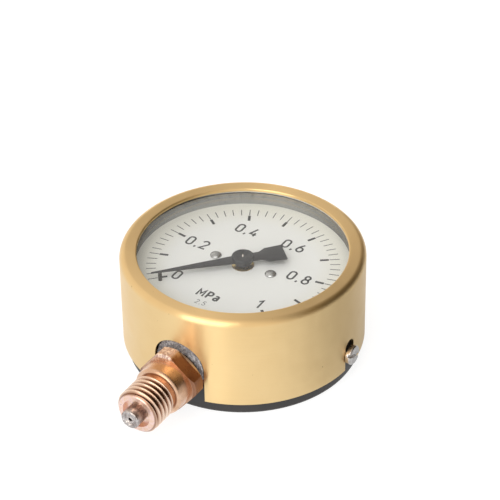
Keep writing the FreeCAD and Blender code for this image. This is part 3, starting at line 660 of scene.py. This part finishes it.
def cover_profile():
    """Half section of the cover: hem, wall, rounded edge, flat rim and its inner lip."""
    inner = COVER_R - COVER_WALL
    flange = COVER_R - COVER_EDGE_R
    edge_z = COVER_TOP - COVER_EDGE_R
    lip_r, lip_z = LIP_INNER_R + LIP_EDGE_R, COVER_TOP - LIP_EDGE_R
    under = COVER_TOP - COVER_WALL
    hem, burr = 0.2, 0.1
    inner_edge = COVER_EDGE_R - COVER_WALL
    profile = arc_points(inner + hem, COVER_BOTTOM + hem, hem, hem, 180, 270, 4)
    profile += arc_points(COVER_R - hem, COVER_BOTTOM + hem, hem, hem, 270, 360, 4)
    profile += [(COVER_R, COVER_BOTTOM + (edge_z - COVER_BOTTOM) * k / 12) for k in range(1, 12)]
    profile += arc_points(flange, edge_z, COVER_EDGE_R, COVER_EDGE_R, 0, 90, 16)
    profile += [(flange + (lip_r - flange) * k / 4, COVER_TOP) for k in range(1, 4)]
    profile += arc_points(lip_r, lip_z, LIP_EDGE_R, LIP_EDGE_R, 90, 180, 8)
    profile += arc_points(LIP_INNER_R + burr, under + burr, burr, burr, 180, 270, 3)
    profile += arc_points(flange, edge_z, inner_edge, inner_edge, 90, 0, 8)
    return profile


def make_cover():
    """Turned cover with a slot for the stem and one for each screw."""
    cover = lathe("cover_shell", cover_profile(), COVER_ROUND)
    stem_slot = turned(u_slot(STEM_SLOT_HALF_W, STEM_SLOT_TOP, *SLOT_DEPTHS), -90)
    screw_slots = [turned(u_slot(SCREW_SLOT_HALF_W, SCREW_SLOT_TOP, *SLOT_DEPTHS), a) for a in (0, 180)]
    cut(cover, stem_slot, *screw_slots)
    finish_piece(cover, MATERIALS["cover_gold"], "case", "front_cover", 30)


# ---------------------------------------------------------------- dial print
def ribbon(points, width, closed=False):
    """Flat stroke of constant width along 2D points: returns its left and right edge points."""
    count = len(points)
    left, right = [], []
    for i, point in enumerate(points):
        here = Vector(point)
        before = Vector(points[(i - 1) % count]) if closed or i > 0 else None
        after = Vector(points[(i + 1) % count]) if closed or i < count - 1 else None
        into = (here - before).normalized() if before is not None else (after - here).normalized()
        out = (after - here).normalized() if after is not None else into
        along = (into + out).normalized()
        side = Vector((-along.y, along.x))
        stretch = width / 2 / max(0.5, side.dot(Vector((-into.y, into.x))))
        left.append(here + side * stretch)
        right.append(here - side * stretch)
    return left, right


def stroke_mesh(strokes, width, z0, z1):
    """Verts and faces of thin solid strokes; each stroke is (points, closed)."""
    verts, faces = [], []
    for points, closed in strokes:
        left, right = ribbon(points, width, closed)
        base = len(verts)
        count = len(points)
        for a, b in zip(left, right):
            verts += [(a.x, a.y, z0), (b.x, b.y, z0), (b.x, b.y, z1), (a.x, a.y, z1)]
        steps = count if closed else count - 1
        for i in range(steps):
            p, q = base + 4 * i, base + 4 * ((i + 1) % count)
            for k in range(4):
                m = (k + 1) % 4
                faces.append((p + k, p + m, q + m, q + k))
        if not closed:
            faces.append(tuple(base + k for k in range(4)))
            last = base + 4 * (count - 1)
            faces.append(tuple(last + k for k in range(4)))
    return verts, faces


def glyph(letter):
    """Strokes of one upright technical letter of height 1, and its width."""
    if letter == "0":
        top = arc_points(0.27, 0.75, 0.25, 0.25, 0, 180, 12)
        return [(top + arc_points(0.27, 0.25, 0.25, 0.25, 180, 360, 12), True)], 0.54
    if letter == "1":
        return [([(0.04, 0.76), (0.30, 1.0), (0.30, 0.0)], False)], 0.36
    if letter == "2":
        top = arc_points(0.27, 0.74, 0.25, 0.26, 170, -30, 14)
        return [(top + [(0.03, 0.0), (0.53, 0.0)], False)], 0.56
    if letter == "4":
        angle, foot = [(0.34, 1.0), (0.03, 0.24), (0.56, 0.24)], [(0.41, 0.48), (0.41, 0.0)]
        return [(angle, False), (foot, False)], 0.58
    if letter == "5":
        bowl = arc_points(0.26, 0.31, 0.27, 0.31, 110, -150, 14)
        return [([(0.50, 1.0), (0.10, 1.0), (0.06, 0.56)] + bowl, False)], 0.54
    if letter == "6":
        loop = arc_points(0.27, 0.29, 0.25, 0.29, 0, 360, 20)[:-1]
        return [(loop, True), ([(0.40, 1.0), (0.14, 0.62), (0.04, 0.40)], False)], 0.54
    if letter == "8":
        upper = arc_points(0.27, 0.77, 0.20, 0.23, 0, 360, 18)[:-1]
        lower = arc_points(0.27, 0.27, 0.25, 0.27, 0, 360, 20)[:-1]
        return [(upper, True), (lower, True)], 0.54
    if letter == ",":
        return [([(0.14, 0.08), (0.06, -0.12)], False)], 0.20
    if letter == "M":
        return [([(0.05, 0.0), (0.05, 1.0), (0.37, 0.36), (0.69, 1.0), (0.69, 0.0)], False)], 0.76
    if letter == "P":
        bowl = arc_points(0.30, 0.73, 0.25, 0.27, 90, -90, 10)
        return [([(0.06, 0.0), (0.06, 1.0)] + bowl + [(0.06, 0.46)], False)], 0.58
    if letter == "a":
        hook = arc_points(0.24, 0.52, 0.20, 0.18, 140, 0, 8) + [(0.44, 0.0)]
        bowl = arc_points(0.24, 0.19, 0.20, 0.19, 0, 360, 16)[:-1]
        return [(hook, False), (bowl, True)], 0.50
    return [], 0.4


def text_strokes(text, height, centre):
    """Strokes of a line of text, centred on a point."""
    gap = 0.27
    strokes, pen = [], 0.0
    for letter in text:
        shapes, width = glyph(letter)
        for points, closed in shapes:
            strokes.append(([(x + pen, y) for x, y in points], closed))
        pen += width + gap
    shift_x = centre[0] - (pen - gap) * height / 2
    shift_y = centre[1] - height / 2
    return [([(x * height + shift_x, y * height + shift_y) for x, y in points], closed)
            for points, closed in strokes]


def scale_angle(value):
    """Direction of a value on the dial, in degrees from +X."""
    return SCALE_START - SCALE_SWEEP * value


def mark(value, inner, outer):
    """Stroke of a tick across the scale."""
    a = radians(scale_angle(value))
    return [(r * cos(a), r * sin(a)) for r in (inner, outer)], False


def make_scale():
    """Ticks, bars, figures, unit and class, as thin raised ink."""
    z0, z1 = DIAL_TOP - INK_SINK, DIAL_TOP + INK_T
    thin, thick = [], []
    for step in range(SCALE_STEPS + 1):
        thin.append(mark(step / SCALE_STEPS, TICK_IN, TICK_OUT))
        if step % STEPS_PER_MAJOR == 0:
            thick.append(mark(step / SCALE_STEPS, BAR_IN, BAR_OUT))
    ticks = build("dial_ticks", *stroke_mesh(thin, TICK_W, z0, z1))
    bars = build("dial_bars", *stroke_mesh(thick, BAR_W, z0, z1))
    strokes = []
    for value in (0.0, 0.2, 0.4, 0.6, 0.8, 1.0):
        end = value in (0.0, 1.0)
        a = radians(scale_angle(value))
        r = END_FIGURE_R if end else FIGURE_R
        text = f"{value:.0f}" if end else f"{value:.1f}".replace(".", ",")
        strokes += text_strokes(text, FIGURE_H, (r * cos(a), r * sin(a)))
    figures = build("dial_figures", *stroke_mesh(strokes, FIGURE_STROKE, z0, z1))
    unit_strokes = text_strokes("MPa", UNIT_H, UNIT_PLACE)
    class_strokes = text_strokes("2,5", CLASS_H, CLASS_PLACE)
    unit = build("dial_unit", *stroke_mesh(unit_strokes, UNIT_STROKE, z0, z1))
    grade = build("dial_class", *stroke_mesh(class_strokes, CLASS_STROKE, z0, z1))
    for piece in (ticks, bars, figures, unit, grade):
        finish_piece(piece, MATERIALS["dial_ink"], "case")


# ---------------------------------------------------------------- pointer
def make_pointer():
    """Blade with a flared tail, a turned hub with its skirt, and the shaft's pale tip."""
    z0 = POINTER_LOW.z
    thick = 0.35
    half_root, half_tip = BLADE_ROOT_W / 2, BLADE_TIP_W / 2
    flare = TAIL_NECK_END + TAIL_FLARE
    right = [(-TAIL_END, -TAIL_END_W / 2, 0.2), (-flare, -TAIL_W / 2, 0.3),
             (-TAIL_NECK_END, -TAIL_NECK_W / 2, 0.5), (0, -half_root, 1.0),
             (HUB_R, -half_root, 2.0), (POINTER_TIP, -half_tip, 0.1)]
    left = [(x, -y, r) for x, y, r in reversed(right)]
    blade = prism("pointer_blade", rounded(right + left), z0, z0 + thick)
    bevel(blade, 0.07, 2, 50)
    turned(blade, POINTER_REST)
    finish_piece(blade, MATERIALS["pointer_black"], "pointer", "pointer", 40)
    top = POINTER_HIGH.z
    dimple_r, dimple = 1.0, 0.12
    rim = rounded([(0, z0, 0), (HUB_R, z0, 0.08), (HUB_R, top, 0.35), (0, top - 0.02, 0)], False)[1:-1]
    skirt = [(SKIRT_BORE_R, z0 + 0.05), (SKIRT_BORE_R, SKIRT_Z), (SKIRT_R - 0.1, SKIRT_Z),
             (SKIRT_R, SKIRT_Z + 0.1), (SKIRT_R, z0)]
    face = [(dimple_r + 0.15, top), (dimple_r, top - dimple), (0, top - dimple)]
    hub = lathe("pointer_hub", [(0, z0 + 0.05)] + skirt + rim + face, 96)
    finish_piece(hub, MATERIALS["pointer_black"], "pointer", None, 40)
    tip_r, tip_low, tip_h, nose = 0.42, top - dimple, 0.42, 0.15
    cone = [(0, tip_low), (tip_r, tip_low)]
    cone += arc_points(0, tip_low + tip_h - nose, tip_r * 0.6, nose, 0, 90, 6)
    tip = lathe("shaft_tip", cone, SMALL_ROUND)
    finish_piece(tip, MATERIALS["screw_steel"], "pointer", None, 60)


# ---------------------------------------------------------------- screws, pin, nipple and compound
def to_stem(obj):
    """Puts a piece made along +Z on the stem's axis."""
    turned(obj, 90, "X")
    return placed(obj, 0, 0, STEM_Z)


def make_dial_screws():
    """Two domed heads on the dial."""
    dome_r, dome_h = DIAL_SCREW_R, DIAL_SCREW_HIGH.z - DIAL_TOP
    rim, sunk, edge = 0.18, 0.3, 0.1
    screws = []
    for side in (-1, 1):
        profile = [(0, -sunk), (dome_r - edge, -sunk), (dome_r, edge - sunk), (dome_r, rim)]
        profile += arc_points(0, rim, dome_r, dome_h - rim, 6, 84, 13)
        profile.append((0, dome_h))
        screws.append(placed(lathe("screw", profile, SMALL_ROUND), side * DIAL_SCREW_X, 0, DIAL_TOP))
    heads = joined("dial_screw_heads", screws)
    finish_piece(heads, MATERIALS["dial_screw_steel"], "case", "dial_screws", 40)


def make_cover_screws():
    """Two slotted heads on the cover's sides."""
    head_r, head_h, edge = 2.6, SCREW_HIGH.x - COVER_R, 0.45
    slot_w, slot_depth = 0.9, 0.7
    screws = []
    for side in (-1, 1):
        profile = [(0, -3.0), (1.25, -3.0), (1.25, 0), (head_r - 0.08, 0), (head_r, 0.08)]
        profile += arc_points(head_r - edge, head_h - edge, edge, edge, 0, 80, 7)
        profile += [(head_r * 0.45, head_h - 0.01), (0, head_h)]
        head = lathe("screw", profile, 96)
        reach, half = 4, slot_w / 2
        slot = prism("slot", [(-reach, -half), (reach, -half), (reach, half), (-reach, half)],
                     head_h - slot_depth, head_h + 1)
        bevel(cut(head, slot), 0.07, 2, 40)
        turned(head, 25 + 40 * side)    # the two slots lie at different angles
        turned(head, side * 90, "Y")
        screws.append(placed(head, side * COVER_R, 0, SCREW_Z))
    pair = joined("cover_screw_pair", screws)
    finish_piece(pair, MATERIALS["screw_steel"], "case", "cover_screws", 30)


def make_stop_pin():
    """Pin that the pointer's tail comes to rest against."""
    r = (PIN_HIGH.x - PIN_LOW.x) / 2
    height = PIN_HIGH.z - PIN_LOW.z
    edge = 0.15
    profile = [(0, 0), (r, 0), (r, height - edge)]
    profile += arc_points(r - edge, height - edge, edge, edge, 15, 80, 4)
    pin = lathe("stop_pin", profile + [(0, height)], 32)
    placed(pin, (PIN_HIGH.x + PIN_LOW.x) / 2, (PIN_HIGH.y + PIN_LOW.y) / 2, PIN_LOW.z)
    finish_piece(pin, MATERIALS["pin_dark"], "case", "zero_stop_pin", 40)


def make_nipple():
    """Centring nipple with a rounded nose and a rough, dished end face round its port."""
    r, port_r, seat_r = 2.5, 0.5, 2.1
    start, shoulder, end = -NIPPLE_HIGH.y, 49.0, -NIPPLE_LOW.y
    nose, edge = 0.45, 0.05
    profile = [(port_r, start), (seat_r, start), (seat_r, shoulder)]
    profile += [(r - edge, shoulder), (r, shoulder + edge)]
    profile += [(r, shoulder + (end - nose - shoulder) * k / 12) for k in range(1, 12)]
    profile += arc_points(r - nose, end - nose, nose, nose, 0, 90, 6)
    dish = [(k / 10, 0.42 * sin(pi / 2 * k / 10) + 0.05 * sin(k * 2.1)) for k in range(1, 11)]
    dish_r = r - nose - 0.15
    profile += [(dish_r - (dish_r - port_r) * k, end - depth) for k, depth in dish]
    profile += [(port_r, end - 1.5 * k) for k in (0.5, 1, 2)]
    nipple = to_stem(lathe("nipple", profile, 128))
    side_push, face_push, narrowing = 0.02, 0.16, 0.006
    for vertex in nipple.data.vertices:
        p = vertex.co / MM
        across = hypot(p.x, p.z - STEM_Z)
        if -p.y > shoulder + 0.2 and across > port_r + edge:
            dent = mnoise.fractal(p * 1.6, 1.0, 2.0, 4)
            inward = side_push if across > r - 0.02 else face_push
            vertex.co.y += inward * (1 + dent) * MM
            shrink = 1 - narrowing * (1 + dent)
            vertex.co.x *= shrink
            vertex.co.z = (STEM_Z + (p.z - STEM_Z) * shrink) * MM
    finish_piece(nipple, MATERIALS["nipple_steel"], "case", "inlet_nipple", 50)


def make_compound():
    """Hardened compound packed round the neck: a lumpy arch, lower towards one side of the slot."""
    gap, neck_r = 0.2, 5.86
    back, front = 29.3, 31.0
    voxel, lumps, sink = 0.16, ((0.9, 0.16), (3.1, 0.10)), 0.08     # lumps are (scale, height)
    slope_from, slope, low_side, slope_w = 29.9, 1.1, 3.0, 9.0
    outer = STEM_SLOT_HALF_W - gap
    centre_z = STEM_SLOT_TOP - STEM_SLOT_HALF_W
    arch = [(outer, STEM_Z), (outer, centre_z)] + arc_points(0, centre_z, outer, outer, 4, 176, 40)
    arch += [(-outer, centre_z), (-outer, STEM_Z)]
    inner = [(neck_r * cos(radians(a)), STEM_Z + neck_r * sin(radians(a))) for a in range(180, -1, -5)]
    block = prism("compound", arch + inner, back, front)
    moved(block, Matrix(((1, 0, 0, 0), (0, 0, -1, 0), (0, 1, 0, 0), (0, 0, 0, 1))))
    remesh = block.modifiers.new("grain", "REMESH")
    remesh.mode = "VOXEL"
    remesh.voxel_size = voxel * MM
    apply_modifiers(block)
    for vertex, normal in [(v, v.normal.copy()) for v in block.data.vertices]:
        p = vertex.co / MM
        lump = sum(mnoise.fractal(p * scale, 1.0, 2.0, 3) * high for scale, high in lumps)
        vertex.co += normal * (lump - sink) * MM
        lean = max(0.0, min(1.0, (low_side - p.x) / slope_w))
        if -p.y > slope_from:
            vertex.co.y += lean * slope * (-p.y - slope_from) * MM
    finish_piece(block, MATERIALS["seal_grey"], "case", "stem_seal", 70)


def make_bourdon_tube():
    """Bent flat tube, closed at both ends."""
    low, high = span("bourdon_tube")
    half_t = TUBE_THICK / 2
    bend_r, half_flat = high.y - half_t, (high.z - low.z) / 2 - half_t
    section = arc_points(bend_r, STEM_Z + half_flat, half_t, half_t, 0, 180, 8)
    section += arc_points(bend_r, STEM_Z - half_flat, half_t, half_t, 180, 360, 8)
    count, verts = len(section), []
    for k in range(TUBE_STEPS + 1):
        angle = radians(TUBE_TIP_ANGLE + (TUBE_ROOT_ANGLE - TUBE_TIP_ANGLE) * k / TUBE_STEPS)
        verts += [(r * cos(angle), r * sin(angle), z) for r, z in section]
    faces = [tuple(range(count)), tuple(range(TUBE_STEPS * count, len(verts)))]
    for here in range(0, TUBE_STEPS * count, count):
        for i in range(count):
            j = (i + 1) % count
            faces.append((here + i, here + j, here + count + j, here + count + i))
    tube = smooth(build("tube_coil", verts, faces))
    tube.data.materials.append(MATERIALS["tube_bronze"])
    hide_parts("bourdon_tube")
    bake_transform(tube)


# ---------------------------------------------------------------- stage
CAMERA_AZIMUTH, CAMERA_ELEVATION = 301.8, 35.5
CAMERA_DISTANCE = 577.0
CAMERA_LENS = 155.0
CAMERA_ROLL = -0.80
CAMERA_TARGET = (-10.8, 20.9, 12.0)
FLOOR_GLOW = 0.86
DARK_SIDE = (50.0, 15.0)     # azimuth and elevation
# ramp stops of the dome and the card: (position towards the dark side, grey)
DOME_LIGHT = [(0.12, 0.98), (0.41, 0.66), (0.57, 0.38)]
DOME_DARK = [(0.71, 0.18), (0.87, 0.05)]
CARD_DARK_SIDE = 25.0        # azimuth
CARD = [(0.0, 0.98), (0.35, 1.06), (0.55, 1.04), (0.72, 0.96), (0.865, 0.84), (0.96, 0.68), (1.0, 0.60)]
CARD_TINT, LIGHT_TINT, DARK_TINT = (1.0, 1.06, 1.13), (1.0, 0.96, 0.91), (1.15, 0.88, 0.50)
CARD_GAP, CARD_OUTER_R, CARD_Z = 0.3, 260.0, 0.25
FLOOR_HALF, FLOOR_Z = 3000.0, -0.05
LIGHTS = {
    # azimuth, elevation, distance, (width, height), watts, seen in reflections
    "soft_box": (268, 32, 900, (640, 900), 3.4, True),
    "far_panel": (122, 4, 1500, (900, 300), 1.2, True),
    "top_light": (300, 62, 900, (700, 700), 2.2, False),
}


def from_angles(azimuth, elevation, distance):
    """Vector of a given length in a direction given in degrees."""
    a, e = radians(azimuth), radians(elevation)
    return Vector((cos(e) * cos(a), cos(e) * sin(a), sin(e))) * distance


def tinted(stops, tint):
    """Grey stops of a ramp, each turned to a colour."""
    return [(position, tuple(grey * part for part in tint)) for position, grey in stops]


def make_camera():
    """Camera at the photo's angle."""
    data = bpy.data.cameras.new("camera")
    data.lens = CAMERA_LENS
    data.sensor_width = 36.0
    data.clip_start, data.clip_end = 0.01, 20.0
    camera = bpy.data.objects.new("camera", data)
    bpy.context.scene.collection.objects.link(camera)
    target = Vector(CAMERA_TARGET)
    offset = from_angles(CAMERA_AZIMUTH, CAMERA_ELEVATION, CAMERA_DISTANCE)
    look = (-offset).to_track_quat("-Z", "Y").to_matrix().to_4x4()
    roll = Matrix.Rotation(radians(CAMERA_ROLL), 4, "Z")
    camera.matrix_world = Matrix.Translation((target + offset) * MM) @ look @ roll
    bpy.context.scene.camera = camera


def area_light(name, azimuth, elevation, distance, size, power, glossy):
    """Rectangular lamp that faces the gauge."""
    data = bpy.data.lights.new(name, "AREA")
    data.shape = "RECTANGLE"
    data.size, data.size_y = size[0] * MM, size[1] * MM
    data.energy = power
    lamp = bpy.data.objects.new(name, data)
    bpy.context.scene.collection.objects.link(lamp)
    place = from_angles(azimuth, elevation, distance)
    look = (-place).to_track_quat("-Z", "Y").to_matrix().to_4x4()
    lamp.matrix_world = Matrix.Translation(place * MM) @ look
    lamp.visible_camera = False
    lamp.visible_glossy = glossy


def make_floor():
    """Plain pale floor that glows a little, so that it stays white as in the photo."""
    signs = [(-1, -1), (1, -1), (1, 1), (-1, 1)]
    floor = build("floor", [(FLOOR_HALF * x, FLOOR_HALF * y, 0) for x, y in signs], [(0, 1, 2, 3)])
    n = Nodes("floor_white")
    n.set("Base Color", (0.25, 0.25, 0.25, 1))
    n.set("Roughness", 0.9)
    n.set("Specular IOR Level", 0.0)
    n.set("Emission Color", (1, 1, 1, 1))
    n.set("Emission Strength", FLOOR_GLOW)
    floor.data.materials.append(n.material)
    placed(floor, 0, 0, FLOOR_Z)


def make_shade_card():
    """Grey card on the floor, only seen in reflections: it darkens the gold towards one side."""
    verts = [(r * cos(2 * pi * k / ROUND), r * sin(2 * pi * k / ROUND), CARD_Z)
             for r in (COVER_R + CARD_GAP, CARD_OUTER_R) for k in range(ROUND)]
    faces = [(k, (k + 1) % ROUND, ROUND + (k + 1) % ROUND, ROUND + k) for k in range(ROUND)]
    card = build("shade_card", verts, faces)
    n = Nodes("card_grey")
    where = n.add("ShaderNodeTexCoord")
    level = n.add("ShaderNodeVectorMath", operation="NORMALIZE")
    facing = n.add("ShaderNodeVectorMath", operation="DOT_PRODUCT")
    facing.inputs[1].default_value = from_angles(CARD_DARK_SIDE, 0, 1.0)
    n.link(where.outputs["Object"], level.inputs[0])
    n.link(level.outputs["Vector"], facing.inputs[0])
    n.set("Base Color", (0, 0, 0, 1))
    n.set("Specular IOR Level", 0.0)
    side = n.math("MULTIPLY_ADD", facing.outputs["Value"], 0.5, 0.5)
    n.set("Emission Color", n.ramp(side, tinted(CARD, CARD_TINT)))
    n.set("Emission Strength", 1.0)
    card.data.materials.append(n.material)
    card.visible_camera = card.visible_diffuse = card.visible_shadow = card.visible_transmission = False


def make_world():
    """Even grey dome, darker towards one side of the room."""
    world = bpy.data.worlds.new("studio")
    world.use_nodes = True
    tree = world.node_tree
    background = tree.nodes["Background"]
    where = tree.nodes.new("ShaderNodeTexCoord")
    facing = tree.nodes.new("ShaderNodeVectorMath")
    facing.operation = "DOT_PRODUCT"
    facing.inputs[1].default_value = from_angles(*DARK_SIDE, 1.0)
    ramp = tree.nodes.new("ShaderNodeValToRGB")
    tree.links.new(where.outputs["Generated"], facing.inputs[0])
    tree.links.new(facing.outputs["Value"], ramp.inputs["Fac"])
    tree.links.new(ramp.outputs["Color"], background.inputs["Color"])
    fill_ramp(ramp, tinted(DOME_LIGHT, LIGHT_TINT) + tinted(DOME_DARK, DARK_TINT))
    background.inputs["Strength"].default_value = 1.0
    bpy.context.scene.world = world


def make_lights():
    """The lamps of the stage."""
    for name, settings in LIGHTS.items():
        area_light(name, *settings)


make_camera()
make_world()
make_lights()
make_floor()
make_shade_card()
dress_cad_nodes()
make_cover()
make_scale()
make_pointer()
make_dial_screws()
make_cover_screws()
make_stop_pin()
make_nipple()
make_compound()
make_bourdon_tube()

bpy.context.scene.view_settings.view_transform = "Standard"
